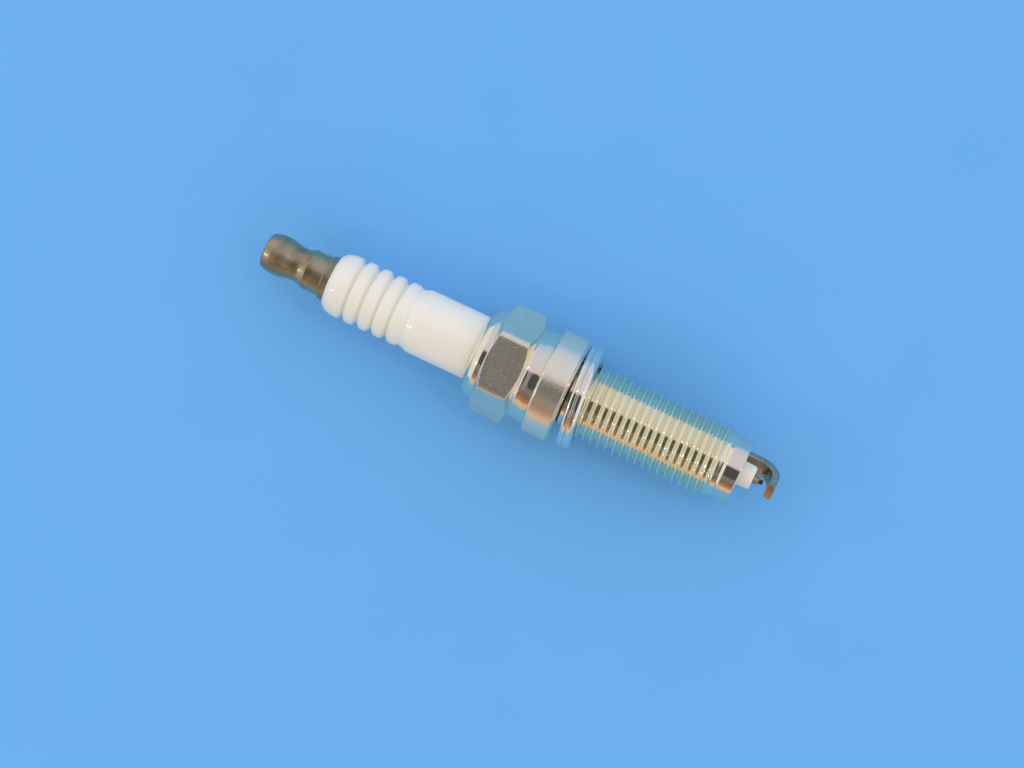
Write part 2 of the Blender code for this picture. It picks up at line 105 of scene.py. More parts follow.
# Hexagon: rounded corners and turned chamfers
CORNER_FILLET = 1.28
HALF_CORNER = math.radians(30.0)
CHAMFER_SLOPE = math.tan(math.radians(30.0))
FILLET_CENTER = (FLAT_R - CORNER_FILLET) / math.cos(HALF_CORNER)

# Insulator
BARREL_R = 5.25
RIB_R = BARREL_R - 0.15
RIB_COUNT = 5
RIB_PITCH = 2.46
RIB_DEPTH = 0.76
CERAMIC_BORE_R = 1.95
NOSE_START = 10.0

# Strap
STRAP_DIRECTION = 151.7
STRAP_HALF_WIDTH = 1.325
STRAP_HALF_THICKNESS = 0.65
STRAP_BEND_R = 3.1
STRAP_R = 4.05
STRAP_PAST_AXIS = 1.57

# Gasket
GASKET_LEAN = 4.7
GASKET_RIM_R = 8.25
GASKET_HOLE_R = 6.2
GASKET_HALF = 1.15

# Depth of the plating's small dents, in metres
DENTS = 0.000012
THREAD_DENTS = 0.000005

# View: the tilts of the line of sight from straight above, the roll, and the distance
TILT_ALONG = math.radians(4.5)
TILT_ACROSS = math.radians(5.7)
ROLL = math.radians(25.3)
VIEW_DISTANCE = 437.5

# Light tent, by the angle round the plug's axis from straight up towards +Y
TENT_BANDS = (
    (-95.0, (0.3, 0.45, 0.56)), (-86.0, (0.48, 0.5, 0.5)), (-80.0, (0.68, 0.5, 0.37)),
    (-73.0, (0.78, 0.5, 0.34)), (-69.0, (0.5, 0.25, 0.15)), (-60.0, (0.36, 0.18, 0.12)),
    (-52.0, (0.17, 0.13, 0.12)), (-38.0, (0.22, 0.2, 0.22)), (7.0, (0.18, 0.18, 0.2)),
    (10.0, (0.65, 0.6, 0.76)), (26.0, (0.67, 0.64, 0.81)), (36.0, (0.65, 0.66, 0.88)),
    (56.0, (0.61, 0.65, 0.88)), (74.0, (0.5, 0.63, 0.94)), (90.0, (0.34, 0.55, 0.93)),
)
TENT_ENDS = (0.8, 0.79, 0.85, 1.0)
TENT_OPENING = (0.07, 0.078, 0.085, 1.0)
LAMP_DISTANCE = 0.8


# ---------------------------------------------------------------- outlines

def rounded(corners, closed=False, step=14.0):
    """A line through (x, r, fillet) corners, with each corner rounded to its fillet."""
    line = []
    count = len(corners)
    for i, (x, r, fillet) in enumerate(corners):
        here = Vector((x, r))
        ends = i in (0, count - 1) and not closed
        if fillet <= 0.0 or ends:
            line.append((x, r))
            continue
        back = Vector(corners[i - 1][:2]) - here
        on = Vector(corners[(i + 1) % count][:2]) - here
        turn = math.pi - back.angle(on)
        if turn < 0.02:
            line.append((x, r))
            continue
        reach = min(fillet * math.tan(0.5 * turn), 0.48 * back.length, 0.48 * on.length)
        radius = reach / math.tan(0.5 * turn)
        back.normalize()
        on.normalize()
        center = here + (back + on).normalized() * (radius / math.cos(0.5 * turn))
        first = here + back * reach - center
        last = here + on * reach - center
        steps = max(2, math.ceil(math.degrees(turn) / step))
        for k in range(steps + 1):
            t = k / steps
            point = first * math.sin((1.0 - t) * turn) + last * math.sin(t * turn)
            point = center + point / math.sin(turn)
            line.append((point.x, point.y))
    return line


class Surface:
    """Points and faces gathered for one mesh, in millimetres."""

    def __init__(self):
        self.points = []
        self.faces = []
        self.slots = []

    def grid(self, columns, slot, wrap_rows=False, wrap_shift=0):
        """Join columns of points, each the same length, into a band that closes on itself.

        wrap_shift is how many rows up the last column meets the first, as on a helix.
        """
        first = len(self.points)
        rows = len(columns[0])
        for column in columns:
            self.points.extend(column)
        count = len(columns)
        for j in range(count):
            k = (j + 1) % count
            shift = wrap_shift if k == 0 else 0
            for i in range(rows if wrap_rows else rows - 1):
                n = (i + 1) % rows
                if max(i, n) + shift >= rows:
                    continue
                a = first + j * rows
                b = first + k * rows + shift
                self.faces.append((a + i, b + i, b + n, a + n))
                self.slots.append(slot(columns[j][i], columns[j][n]) if callable(slot) else slot)

    def lathe(self, line, slot=0, closed=False, sides=SIDES):
        """Turn a line that runs towards +X on the outer side and back along the bore."""
        columns = []
        for j in range(sides):
            angle = 2.0 * math.pi * j / sides
            c, s = math.cos(angle), math.sin(angle)
            columns.append([(x, r * c, r * s) for x, r in line])
        self.grid(columns, slot, wrap_rows=closed)

    def build(self, name, materials, body, replaces, sharp=38.0):
        """Make the object, let it ride its body and hide the CAD nodes it stands for."""
        bm = bmesh.new()
        verts = [bm.verts.new(Vector(p) * MM) for p in self.points]
        for face, slot in zip(self.faces, self.slots):
            made = bm.faces.new([verts[i] for i in face])
            made.material_index = slot
        bmesh.ops.remove_doubles(bm, verts=bm.verts, dist=2e-7)
        bmesh.ops.dissolve_degenerate(bm, edges=bm.edges, dist=1e-8)
        mesh = bpy.data.meshes.new(name)
        bm.to_mesh(mesh)
        bm.free()
        for material in materials:
            mesh.materials.append(material)
        mesh.shade_smooth()
        mesh.set_sharp_from_angle(angle=math.radians(sharp))
        obj = bpy.data.objects.new(name, mesh)
        bpy.context.scene.collection.objects.link(obj)
        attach(obj, body)
        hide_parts(*replaces)
        return obj


def weigh_normals(obj):
    """Shade wide faces flat, so that only the fillets between them bend the reflections."""
    weight = obj.modifiers.new("Even shading", "WEIGHTED_NORMAL")
    weight.keep_sharp = True
    weight.weight = 100


# ---------------------------------------------------------------- materials

class Look:
    """A Principled material with helpers for its procedural nodes."""

    def __init__(self, name, **values):
        self.material = bpy.data.materials.new(name)
        self.material.use_nodes = True
        self.nodes = self.material.node_tree.nodes
        self.links = self.material.node_tree.links
        self.shader = self.nodes["Principled BSDF"]
        for key, value in values.items():
            socket = self.shader.inputs[key.replace("_", " ")]
            if hasattr(socket.default_value, "__len__") and len(value) == 3:
                if len(socket.default_value) == 4:
                    value = (*value, 1.0)
            socket.default_value = value
        self.coords = self.nodes.new("ShaderNodeTexCoord")
        self.height = None

    def place(self, scale):
        """Object coordinates times scale, which is one number or one for each axis."""
        scale = scale if hasattr(scale, "__len__") else (scale, scale, scale)
        mapping = self.nodes.new("ShaderNodeMapping")
        mapping.inputs["Scale"].default_value = scale
        self.links.new(self.coords.outputs["Object"], mapping.inputs["Vector"])
        return mapping.outputs["Vector"]

    def noise(self, scale, detail=3.0, roughness=0.55, distortion=0.0):
        """Noise with about scale cells a metre, on each axis."""
        node = self.nodes.new("ShaderNodeTexNoise")
        node.inputs["Scale"].default_value = 1.0
        node.inputs["Detail"].default_value = detail
        node.inputs["Roughness"].default_value = roughness
        node.inputs["Distortion"].default_value = distortion
        self.links.new(self.place(scale), node.inputs["Vector"])
        return node.outputs["Fac"]

    def cells(self, scale):
        """Distance from the middle of a random cell: shallow craters when used as a bump."""
        node = self.nodes.new("ShaderNodeTexVoronoi")
        node.inputs["Scale"].default_value = 1.0
        self.links.new(self.place(scale), node.inputs["Vector"])
        return node.outputs["Distance"]

    def ramp(self, fac, stops):
        """A colour ramp through (position, colour or grey) stops."""
        node = self.nodes.new("ShaderNodeValToRGB")
        while len(node.color_ramp.elements) < len(stops):
            node.color_ramp.elements.new(0.5)
        for element, (position, color) in zip(node.color_ramp.elements, stops):
            element.position = position
            if not hasattr(color, "__len__"):
                color = (color, color, color)
            element.color = (*color, 1.0)
        self.links.new(fac, node.inputs["Fac"])
        return node.outputs["Color"]

    def color(self, output):
        self.links.new(output, self.shader.inputs["Base Color"])

    def rough(self, output):
        self.links.new(output, self.shader.inputs["Roughness"])

    def bump(self, height, distance, strength):
        """Add a bump on top of those made before; distance is its depth in metres."""
        node = self.nodes.new("ShaderNodeBump")
        node.inputs["Distance"].default_value = distance
        node.inputs["Strength"].default_value = strength
        self.links.new(height, node.inputs["Height"])
        if self.height is not None:
            self.links.new(self.height, node.inputs["Normal"])
        self.height = node.outputs["Normal"]
        self.links.new(self.height, self.shader.inputs["Normal"])


def plate_look(name, light, dark, rough_low, rough_high, dents=DENTS):
    """Bright plating: cloudy tint, fine turning lines round the axis and small dents."""
    look = Look(name, Metallic=1.0)
    clouds = look.noise((260.0, 180.0, 180.0), 4.0, 0.6)
    look.color(look.ramp(clouds, ((0.32, dark), (0.62, light))))
    smears = look.noise(700.0, 5.0, 0.65)
    look.rough(look.ramp(smears, ((0.3, rough_low), (0.75, rough_high))))
    look.bump(look.noise((9000.0, 60.0, 60.0), 2.0, 0.5), 0.0000025, 0.55)
    look.bump(look.noise(1400.0, 3.0, 0.6), dents, 0.5)
    return look.material


def satin_look(name, light, dark, rough_low, rough_high, grain):
    """Forged steel under thin plating: grainy, so that it mirrors only in broad patches."""
    look = Look(name, Metallic=0.95)
    speckle = look.noise(6200.0, 3.0, 0.7)
    patches = look.noise(420.0, 3.0, 0.6)
    look.color(look.ramp(patches, ((0.35, dark), (0.68, light))))
    look.rough(look.ramp(speckle, ((0.3, rough_high), (0.7, rough_low))))
    look.bump(speckle, grain, 0.8)
    look.bump(look.cells(4200.0), 0.5 * grain, 0.5)
    return look.material


def mottled_look(name, light, dark, rough_low, rough_high):
    """Plating over a turned face: a hazy mirror with soft dimples and a fine grain."""
    look = Look(name, Metallic=0.88)
    patches = look.noise(420.0, 3.0, 0.6)
    look.color(look.ramp(patches, ((0.35, dark), (0.68, light))))
    look.rough(look.ramp(look.noise(2600.0, 3.0, 0.6), ((0.3, rough_low), (0.7, rough_high))))
    look.bump(look.noise(2400.0, 3.0, 0.7), 0.00004, 0.6)
    look.bump(look.noise(6200.0, 3.0, 0.7), 0.00002, 0.8)
    return look.material


def glaze_look():
    """Glossy ceramic glaze: warm white, very slightly cloudy and wavy."""
    look = Look(
        "white_glaze", Roughness=0.07, IOR=1.5, Coat_Weight=0.4, Coat_Roughness=0.03,
        Subsurface_Weight=0.1, Subsurface_Radius=(1.0, 0.7, 0.45), Subsurface_Scale=0.0006,
    )
    clouds = look.noise((90.0, 140.0, 140.0), 3.0, 0.5)
    look.color(look.ramp(clouds, ((0.3, (0.86, 0.835, 0.71)), (0.7, (0.87, 0.855, 0.745)))))
    look.bump(look.noise(520.0, 2.0, 0.5), 0.00001, 0.45)
    return look.material


def bisque_look():
    """Bare ceramic of the nose: matt, faintly grainy."""
    look = Look(
        "bare_ceramic", Roughness=0.5, IOR=1.5,
        Subsurface_Weight=0.3, Subsurface_Radius=(1.0, 0.75, 0.55), Subsurface_Scale=0.0007,
    )
    grain = look.noise(5200.0, 3.0, 0.6)
    look.color(look.ramp(grain, ((0.3, (0.86, 0.82, 0.72)), (0.7, (0.9, 0.87, 0.79)))))
    look.bump(grain, 0.000012, 0.5)
    return look.material


def terminal_look():
    """Dark bronze-brown plating with cloudy stains and faint scratches round the axis."""
    look = Look("dark_nickel", Metallic=1.0, Coat_Weight=0.6, Coat_Roughness=0.1)
    clouds = look.noise((420.0, 300.0, 300.0), 5.0, 0.65, 0.4)
    stain = look.ramp(clouds, (
        (0.28, (0.3, 0.24, 0.12)), (0.5, (0.42, 0.345, 0.185)), (0.75, (0.55, 0.475, 0.285))))
    look.color(stain)
    look.rough(look.ramp(look.noise(700.0, 4.0, 0.6), ((0.3, 0.34), (0.75, 0.5))))
    look.bump(look.noise((12000.0, 80.0, 80.0), 2.0, 0.5), 0.000003, 0.6)
    look.bump(look.noise(1800.0, 3.0, 0.6), 0.000012, 0.5)
    return look.material


def nickel_look(name, light, dark, rough):
    """Bare nickel alloy strip: drawn lines along X, grey-brown heat tint, fine pits."""
    look = Look(name, Metallic=1.0)
    clouds = look.noise(900.0, 4.0, 0.6)
    look.color(look.ramp(clouds, ((0.3, dark), (0.7, light))))
    look.rough(look.ramp(look.noise(2600.0, 3.0, 0.6), ((0.3, rough - 0.08), (0.7, rough + 0.1))))
    look.bump(look.noise((1500.0, 9000.0, 9000.0), 2.0, 0.5), 0.000008, 0.6)
    look.bump(look.cells(5200.0), 0.000012, 0.5)
    return look.material


def inner_look(name, light, dark, rough, metallic=0.0, scale=1800.0):
    """A hidden piece: its own colour with a little mottling."""
    look = Look(name, Metallic=metallic)
    grain = look.noise(scale, 4.0, 0.6)
    look.color(look.ramp(grain, ((0.35, dark), (0.65, light))))
    look.rough(look.ramp(grain, ((0.3, rough - 0.08), (0.7, rough + 0.08))))
    look.bump(grain, 0.00001, 0.4)
    return look.material


PLATE = plate_look("bright_plate", (0.93, 0.83, 0.66), (0.9, 0.83, 0.6), 0.07, 0.14)
THREAD_PLATE = plate_look(
    "thread_plate", (0.92, 0.87, 0.66), (0.89, 0.83, 0.58), 0.05, 0.12, THREAD_DENTS)
# Whiter, brighter plating on the thread crests: a painted highlight along the crest lines.
CREST_HIGHLIGHT_PLATE = plate_look(
    "crest_painted_highlight", (0.95, 0.92, 0.83), (0.93, 0.89, 0.78), 0.05, 0.12, THREAD_DENTS)
GASKET_PLATE = plate_look("gasket_plate", (0.95, 0.9, 0.8), (0.88, 0.82, 0.66), 0.06, 0.15)
SATIN = satin_look("satin_flats", (0.93, 0.84, 0.66), (0.86, 0.77, 0.57), 0.2, 0.3, 0.000035)
COLLAR_PLATE = mottled_look("collar_plate", (0.93, 0.85, 0.65), (0.89, 0.82, 0.6), 0.16, 0.26)
GLAZE = glaze_look()
BISQUE = bisque_look()
DARK_NICKEL = terminal_look()
STRAP_NICKEL = nickel_look("strap_nickel", (0.7, 0.57, 0.38), (0.46, 0.37, 0.25), 0.26)
ELECTRODE_NICKEL = nickel_look("electrode_nickel", (0.46, 0.4, 0.24), (0.29, 0.24, 0.14), 0.24)
IRIDIUM = nickel_look("dark_iridium", (0.1, 0.1, 0.11), (0.05, 0.05, 0.055), 0.34)
SEAL_GLASS = inner_look("seal_glass", (0.09, 0.09, 0.1), (0.04, 0.04, 0.045), 0.25)
CARBON = inner_look("resistor_body", (0.06, 0.055, 0.05), (0.02, 0.02, 0.02), 0.7)
STEEL = inner_look("packing_steel", (0.56, 0.55, 0.53), (0.4, 0.39, 0.37), 0.38, 1.0)
TALC = inner_look("pressed_talc", (0.8, 0.79, 0.75), (0.66, 0.65, 0.6), 0.85)


# ---------------------------------------------------------------- shell

def shell_lines():
    """The shell's outline before the thread and after it, each in the turning direction."""
    lip = BARREL_R + 0.06
    head_bore = FLAT_R - 1.95
    body_bore = 4.1
    ledge_bore = 3.1
    end_bore = 3.72
    groove = GROOVE_R - 0.22
    relief = ROOT_R - 0.12
    before = rounded([
        (2.0, body_bore, 0.0), (CRIMP_X + 1.5, head_bore, 0.0), (CRIMP_X + 1.5, lip, 0.1),
        (CRIMP_X, lip, 0.12), (CRIMP_X, 6.1, 0.9), (CRIMP_X + 0.55, 6.95, 1.0),
        (CRIMP_X + 1.4, CRIMP_R - 0.04, 0.9), (HEX_X0 + 0.3, CRIMP_R + 0.07, 0.0),
        (HEX_X1 - 0.2, CRIMP_R, 0.0), (HEX_X1 - 0.2, groove + 0.36, 0.0),
        (HEX_X1 + 0.04, groove + 0.36, 0.1), (HEX_X1 + 0.5, groove - 0.04, 0.7),
        (-5.7, GROOVE_R + 0.02, 2.6),
        (COLLAR_X - 0.35, GROOVE_R - 0.06, 0.8), (COLLAR_X - 0.12, groove + 0.08, 0.15),
        (COLLAR_X, COLLAR_R, 0.3),
        (-0.42, COLLAR_R, 0.12), (0.0, COLLAR_R - 0.5, 0.12),
        (0.0, relief, 0.25), (0.8, relief, 0.2), (THREAD_X0, ROOT_R, 0.0),
    ], step=6.0)
    end_r = ROOT_R - 0.18
    after = rounded([
        (THREAD_X1, ROOT_R, 0.0), (THREAD_X1 + 0.35, end_r, 0.15), (END_X, end_r, 0.22),
        (END_X, end_bore, 0.12), (END_X - 11.0, end_bore, 0.2), (END_X - 11.5, ledge_bore, 0.0),
        (END_X - 13.2, ledge_bore, 0.0), (14.4, body_bore - 0.02, 0.0), (2.0, body_bore, 0.0),
    ])
    return before, after


def thread_columns():
    """Helical rows, so that crests and roots run true; both ends fade into the core.

    The ridge rises over run_in after the start. Near the plain end it drops to a low
    tail, which is tail_height of its depth, and the tail fades a little later.
    """
    start = THREAD_X0
    stop = THREAD_X1
    ridge_end = END_X - 3.85
    tail_end = END_X - 2.85
    run_in = 0.7
    run_out = 0.3
    tail_height = 0.3
    depth = THREAD_R - ROOT_R
    flank = depth * math.tan(HALF_THREAD_ANGLE)
    root = 0.5 * (PITCH - CREST_WIDTH) - flank
    turn = rounded([
        (0.0, 0.0, 0.0), (root, 0.0, ROOT_FILLET), (root + flank, depth, CREST_FILLET),
        (root + flank + CREST_WIDTH, depth, CREST_FILLET), (PITCH - root, 0.0, ROOT_FILLET),
        (PITCH, 0.0, 0.0),
    ], step=12.0)[:-1]
    turns = math.ceil((stop - start) / PITCH) + 2
    columns = []
    for j in range(SIDES):
        part = j / SIDES
        c, s = math.cos(2.0 * math.pi * part), math.sin(2.0 * math.pi * part)
        column = []
        for t in range(turns):
            turn_start = start + PITCH * (t - 1 + part)
            middle = turn_start + 0.5 * PITCH
            rise = min(1.0, max(0.0, (middle - start - 0.3) / run_in))
            fall = min(1.0, max(0.0, (ridge_end - middle) / run_out))
            tail = min(1.0, max(0.0, (tail_end - middle) / run_out))
            height = rise * max(fall, tail_height * tail)
            for x, h in turn:
                place = min(max(turn_start + x, start), stop)
                r = ROOT_R if place in (start, stop) else ROOT_R + h * height
                column.append((place, r * c, r * s))
        columns.append(column)
    return columns, len(turn)


def middle_of(a, b):
    """The mean x and the mean distance from the axis of two points."""
    return 0.5 * (a[0] + b[0]), 0.5 * (math.hypot(a[1], a[2]) + math.hypot(b[1], b[2]))


def shell_slot(a, b):
    """Plating by place: hazy collar, bright elsewhere."""
    x, r = middle_of(a, b)
    return 2 if COLLAR_X < x < -0.45 and r > COLLAR_R - 0.1 else 0


def thread_slot(a, b):
    """The crests get a whiter, brighter plating than the flanks and roots: a painted highlight along
    the crest lines.
    """
    return 3 if middle_of(a, b)[1] > THREAD_R - 0.05 else 1


def make_shell():
    """The turned body from the crimped lip to the plain end, without the hexagon."""
    surface = Surface()
    before, after = shell_lines()
    surface.lathe(before, shell_slot)
    surface.lathe(after, shell_slot)
    columns, shift = thread_columns()
    surface.grid(columns, thread_slot, wrap_shift=shift)
    obj = surface.build(
        "shell_body", (PLATE, THREAD_PLATE, COLLAR_PLATE, CREST_HIGHLIGHT_PLATE), "plug", ("shell",))
    weigh_normals(obj)


def hexagon_radius(angle):
    """Distance from the axis to a flat or its rounded corner, by angle from the flat's middle."""
    off = HALF_CORNER - abs(angle)
    across = FILLET_CENTER * math.sin(off)
    flat = FLAT_R / math.cos(angle)
    if across >= CORNER_FILLET * math.sin(HALF_CORNER):
        return flat
    return min(flat, FILLET_CENTER * math.cos(off) + math.sqrt(CORNER_FILLET ** 2 - across ** 2))


def hexagon_angles():
    """Angles from a flat's middle to its corner, closer together where the corner turns."""
    steps = [2.5 * i for i in range(10)] + [24.0, 25.0]
    steps += [25.4 + 0.46 * i for i in range(11)]
    return [-a for a in reversed(steps[1:])] + steps[:-1]


def make_hexagon():
    """Six flats with turned chamfers at both ends and slightly rounded corners."""
    inner = CRIMP_R - 0.4
    start = FLAT_R - 0.22
    bright_edge = 0.18
    columns = []
    for flat in range(6):
        for angle in hexagon_angles():
            a = math.radians(angle)
            r = hexagon_radius(a)
            drop = (r - start) * CHAMFER_SLOPE
            line = rounded([
                (HEX_X0, inner, 0.0), (HEX_X0, start, 0.1), (HEX_X0 + drop, r, 0.16),
                (HEX_X1 - drop, r, 0.16), (HEX_X1, start, 0.1), (HEX_X1, inner, 0.0),
            ])
            turn = math.radians(90.0 + 60.0 * flat) + a
            c, s = math.cos(turn), math.sin(turn)
            columns.append([(x, rr * c, rr * s) for x, rr in line])

    def slot(p, q):
        """Satin on the flats, bright on the chamfers and along their edges."""
        x = 0.5 * (p[0] + q[0])
        margin = (math.hypot(p[1], p[2]) - start) * CHAMFER_SLOPE + bright_edge
        return 1 if HEX_X0 + margin < x < HEX_X1 - margin else 0

    surface = Surface()
    surface.grid(columns, slot, wrap_rows=True)
    obj = surface.build("shell_hexagon", (PLATE, SATIN), "plug", ("shell",))
    weigh_normals(obj)


# ---------------------------------------------------------------- insulator and stud

def rib_line():
    """The terminal end's long shoulder, five rounded ribs and the swell to the barrel."""
    shoulder = 2.65
    shoulder_drop = 1.5
    steep = 1.75
    power = 1.7
    crest = CERAMIC_LO[0] + shoulder
    line = []
    for i in range(13):
        a = math.radians(90.0 - 90.0 * i / 12)
        r = RIB_R - shoulder_drop + shoulder_drop * math.cos(a)
        line.append((crest - shoulder * math.sin(a), r))
    line.append((crest + 0.3, RIB_R))
    for rib in range(RIB_COUNT):
        last = rib == RIB_COUNT - 1
        groove = crest + RIB_PITCH * rib + 1.12
        low = RIB_R - (0.32 if last else RIB_DEPTH)
        for i in range(-11, 1 if last else 12):
            u = i / 11.0
            half_width = 0.72 if rib == 0 and i <= 0 else 0.78
            lift = 1.0 - math.exp(-((abs(u) * steep) ** power))
            lift = lift / (1.0 - math.exp(-(steep ** power)))
            line.append((groove + u * half_width, low + (RIB_R - low) * lift))
        if not last:
            line.append((groove + 0.5 * RIB_PITCH, RIB_R + 0.01))
    swell = 1.7
    for i in range(1, 13):
        t = i / 12
        ease = t * t * (3.0 - 2.0 * t)
        line.append((groove + swell * t, low + (BARREL_R - low) * ease))
    return line


def ceramic_slot(a, b):
    """Bare ceramic on the nose, glaze elsewhere."""
    return 1 if middle_of(a, b)[0] > NOSE_START else 0


def make_insulator():
    """The ceramic body, outside and bore, as one closed outline turned round the axis."""
    tip = CERAMIC_HI[0]
    inside = rounded([
        (CRIMP_X + 1.0, BARREL_R, 0.0), (-9.4, BARREL_R, 0.2), (-8.6, 6.0, 0.3),
        (-3.7, 6.0, 0.3), (-1.7, 4.0, 0.5), (13.8, 4.0, 0.3), (14.4, 2.95, 0.4),
        (16.4, 2.87, 0.3), (tip, 1.84, 0.55), (tip, 1.12, 0.15),
        (11.3, 1.12, 0.0), (10.4, CERAMIC_BORE_R, 0.0),
        (CERAMIC_LO[0], CERAMIC_BORE_R, 0.15),
    ])
    surface = Surface()
    surface.lathe(rib_line() + inside, ceramic_slot, closed=True)
    surface.build(
        "glazed_insulator", (GLAZE, BISQUE), "plug", ("insulator",), sharp=50.0)


def make_terminal():
    """The solid terminal with its waist, shoulder and stepped flange, and the stem below."""
    top = TERMINAL_LO[0]
    base = CERAMIC_LO[0] - 0.05
    stem = TERMINAL_HI[0]
    line = rounded([
        (top, 0.0, 0.0), (top, 2.72, 0.55), (top + 1.3, 3.1, 1.6), (top + 2.4, 3.26, 2.2),
        (top + 3.6, 3.16, 2.5), (top + 5.1, 2.74, 1.6), (top + 6.1, 2.74, 1.2),
        (top + 7.0, 3.08, 0.3), (top + 7.3, 3.27, 0.25), (top + 8.0, 3.22, 1.0),
        (base - 1.05, 3.26, 0.12), (base - 0.95, 3.58, 0.06),
        (base - 0.55, 3.58, 0.04), (base - 0.48, 3.5, 0.03), (base - 0.4, 3.7, 0.05),
        (base, 3.7, 0.06), (base, 1.85, 0.0), (stem - 5.2, 1.85, 0.1), (stem - 5.0, 1.4, 0.1),
        (stem, 1.35, 0.3), (stem, 0.0, 0.0),
    ])
    surface = Surface()
    surface.lathe(line)
    surface.build(
        "solid_terminal", (DARK_NICKEL,), "plug", ("terminal_stud",))


# ---------------------------------------------------------------- firing end

def make_center():
    """The electrode's sheath with its tapered end, and the fine wire welded to it."""
    nose = CERAMIC_HI[0]
    tip = TIP_HI[0]
    end = CENTER_HI[0]
    start = CENTER_LO[0]
    line = rounded([
        (start, 0.0, 0.0), (start, 1.7, 0.2), (start + 1.1, 1.7, 0.1), (start + 1.75, 1.1, 0.1),
        (nose - 1.0, 1.1, 0.3), (nose, 0.78, 0.3), (end - 0.02, 0.5, 0.06), (end, 0.0, 0.0),
    ])
    surface = Surface()
    surface.lathe(line, sides=96)
    surface.build(
        "center_electrode_sheath", (ELECTRODE_NICKEL,), "plug",
        ("center_electrode", "center_electrode_core"))
    wire = rounded([
        (end - 0.4, 0.0, 0.0), (end - 0.4, 0.38, 0.0), (end - 0.05, 0.38, 0.0),
        (end, 0.44, 0.03), (end + 0.06, 0.38, 0.03), (tip, 0.38, 0.05), (tip, 0.0, 0.0),
    ])
    surface = Surface()
    surface.lathe(wire, sides=72)
    surface.build("fine_wire_tip", (IRIDIUM,), "plug", ("iridium_tip",))


def strap_path():
    """Middle line of the strap as (distance from the axis, x, direction) stations."""
    tip_x = STRAP_HI[0] - STRAP_HALF_THICKNESS
    bend_x = tip_x - STRAP_BEND_R
    bend_r = STRAP_R - STRAP_BEND_R
    foot_x = END_X + 0.03
    path = []
    for i in range(7):
        path.append((STRAP_R, foot_x + (bend_x - foot_x) * i / 6, 0.0))
    for i in range(1, 33):
        a = 0.5 * math.pi * i / 32
        path.append((bend_r + STRAP_BEND_R * math.cos(a), bend_x + STRAP_BEND_R * math.sin(a), a))
    for i in range(1, 9):
        path.append((bend_r - (bend_r + STRAP_PAST_AXIS) * i / 8, tip_x, 0.5 * math.pi))
    return path


def strap_section():
    """A flat bar's section with small round edges, as (across, outward) points."""
    half_w, half_t = STRAP_HALF_WIDTH, STRAP_HALF_THICKNESS
    return rounded([
        (half_w, -half_t, 0.2), (half_w, half_t, 0.2),
        (-half_w, half_t, 0.2), (-half_w, -half_t, 0.2),
    ], closed=True, step=18.0)


def make_strap():
    """The bar bent over the tip, with its free end softened."""
    base = math.radians(STRAP_DIRECTION)
    out = Vector((0.0, math.sin(base), math.cos(base)))
    across = Vector((1.0, 0.0, 0.0)).cross(out)
    section = strap_section()
    end_round = 0.14
    end_taper = 0.11
    path = strap_path()
    stations = [(place, 0.0, 0.0) for place in path[:-1]]
    for i in range(6):
        a = 0.5 * math.pi * i / 5
        stations.append((path[-1], end_round * (math.sin(a) - 1.0), end_taper * (1.0 - math.cos(a))))
    rings = []
    for (radial, x, angle), push, taper in stations:
        along = Vector((math.cos(angle), 0.0, 0.0)) - out * math.sin(angle)
        outward = out * math.cos(angle) + Vector((math.sin(angle), 0.0, 0.0))
        center = out * radial + Vector((x, 0.0, 0.0)) + along * push
        rings.append([
            center + across * (w * (1.0 - taper)) + outward * (t * (1.0 - 2.0 * taper))
            for w, t in section
        ])
    bm = bmesh.new()
    made = [[bm.verts.new(p * MM) for p in ring] for ring in rings]
    count = len(section)
    for a, b in zip(made, made[1:]):
        for i in range(count):
            k = (i + 1) % count
            bm.faces.new((a[i], a[k], b[k], b[i]))
    bm.faces.new(made[0])
    bm.faces.new(list(reversed(made[-1])))
    bmesh.ops.recalc_face_normals(bm, faces=bm.faces)
    mesh = bpy.data.meshes.new("bent_strap")
    bm.to_mesh(mesh)
    bm.free()
    mesh.materials.append(STRAP_NICKEL)
    mesh.shade_smooth()
    mesh.set_sharp_from_angle(angle=math.radians(40.0))
    obj = bpy.data.objects.new("bent_strap", mesh)
    bpy.context.scene.collection.objects.link(obj)
    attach(obj, "plug")
    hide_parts("ground_electrode")


# ---------------------------------------------------------------- gasket

def make_gasket():
    """The folded ring, drawn square round its own middle and leant as the frame has it."""
    middle = Vector((0.5 * (GASKET_LO[0] + GASKET_HI[0]), 0.0, 0.0))
    rim = GASKET_RIM_R
    hole = GASKET_HOLE_R
    half = GASKET_HALF
    seam = -half + 0.95
    line = rounded([
        (-half, hole + 0.3, 0.2), (-half, rim - 0.2, 0.35), (-half + 0.4, rim, 0.4),
        (seam - 0.12, rim - 0.02, 0.1), (seam, rim - 0.3, 0.0), (seam + 0.03, rim - 0.3, 0.0),
        (seam + 0.16, rim - 0.03, 0.12), (half - 0.6, rim, 0.5), (half - 0.12, rim - 0.35, 0.45),
        (half, rim - 1.0, 0.6), (half, hole + 0.4, 0.3), (half - 0.35, hole, 0.2),
        (-half + 0.3, hole, 0.2),
    ], closed=True, step=10.0)
    surface = Surface()
    surface.lathe(line, closed=True)
    turn = Matrix.Rotation(math.radians(GASKET_LEAN), 3, "Z")
    surface.points = [tuple(turn @ Vector(p) + middle) for p in surface.points]
    surface.build("folded_gasket", (GASKET_PLATE,), "gasket", ("gasket",))


# ---------------------------------------------------------------- setting

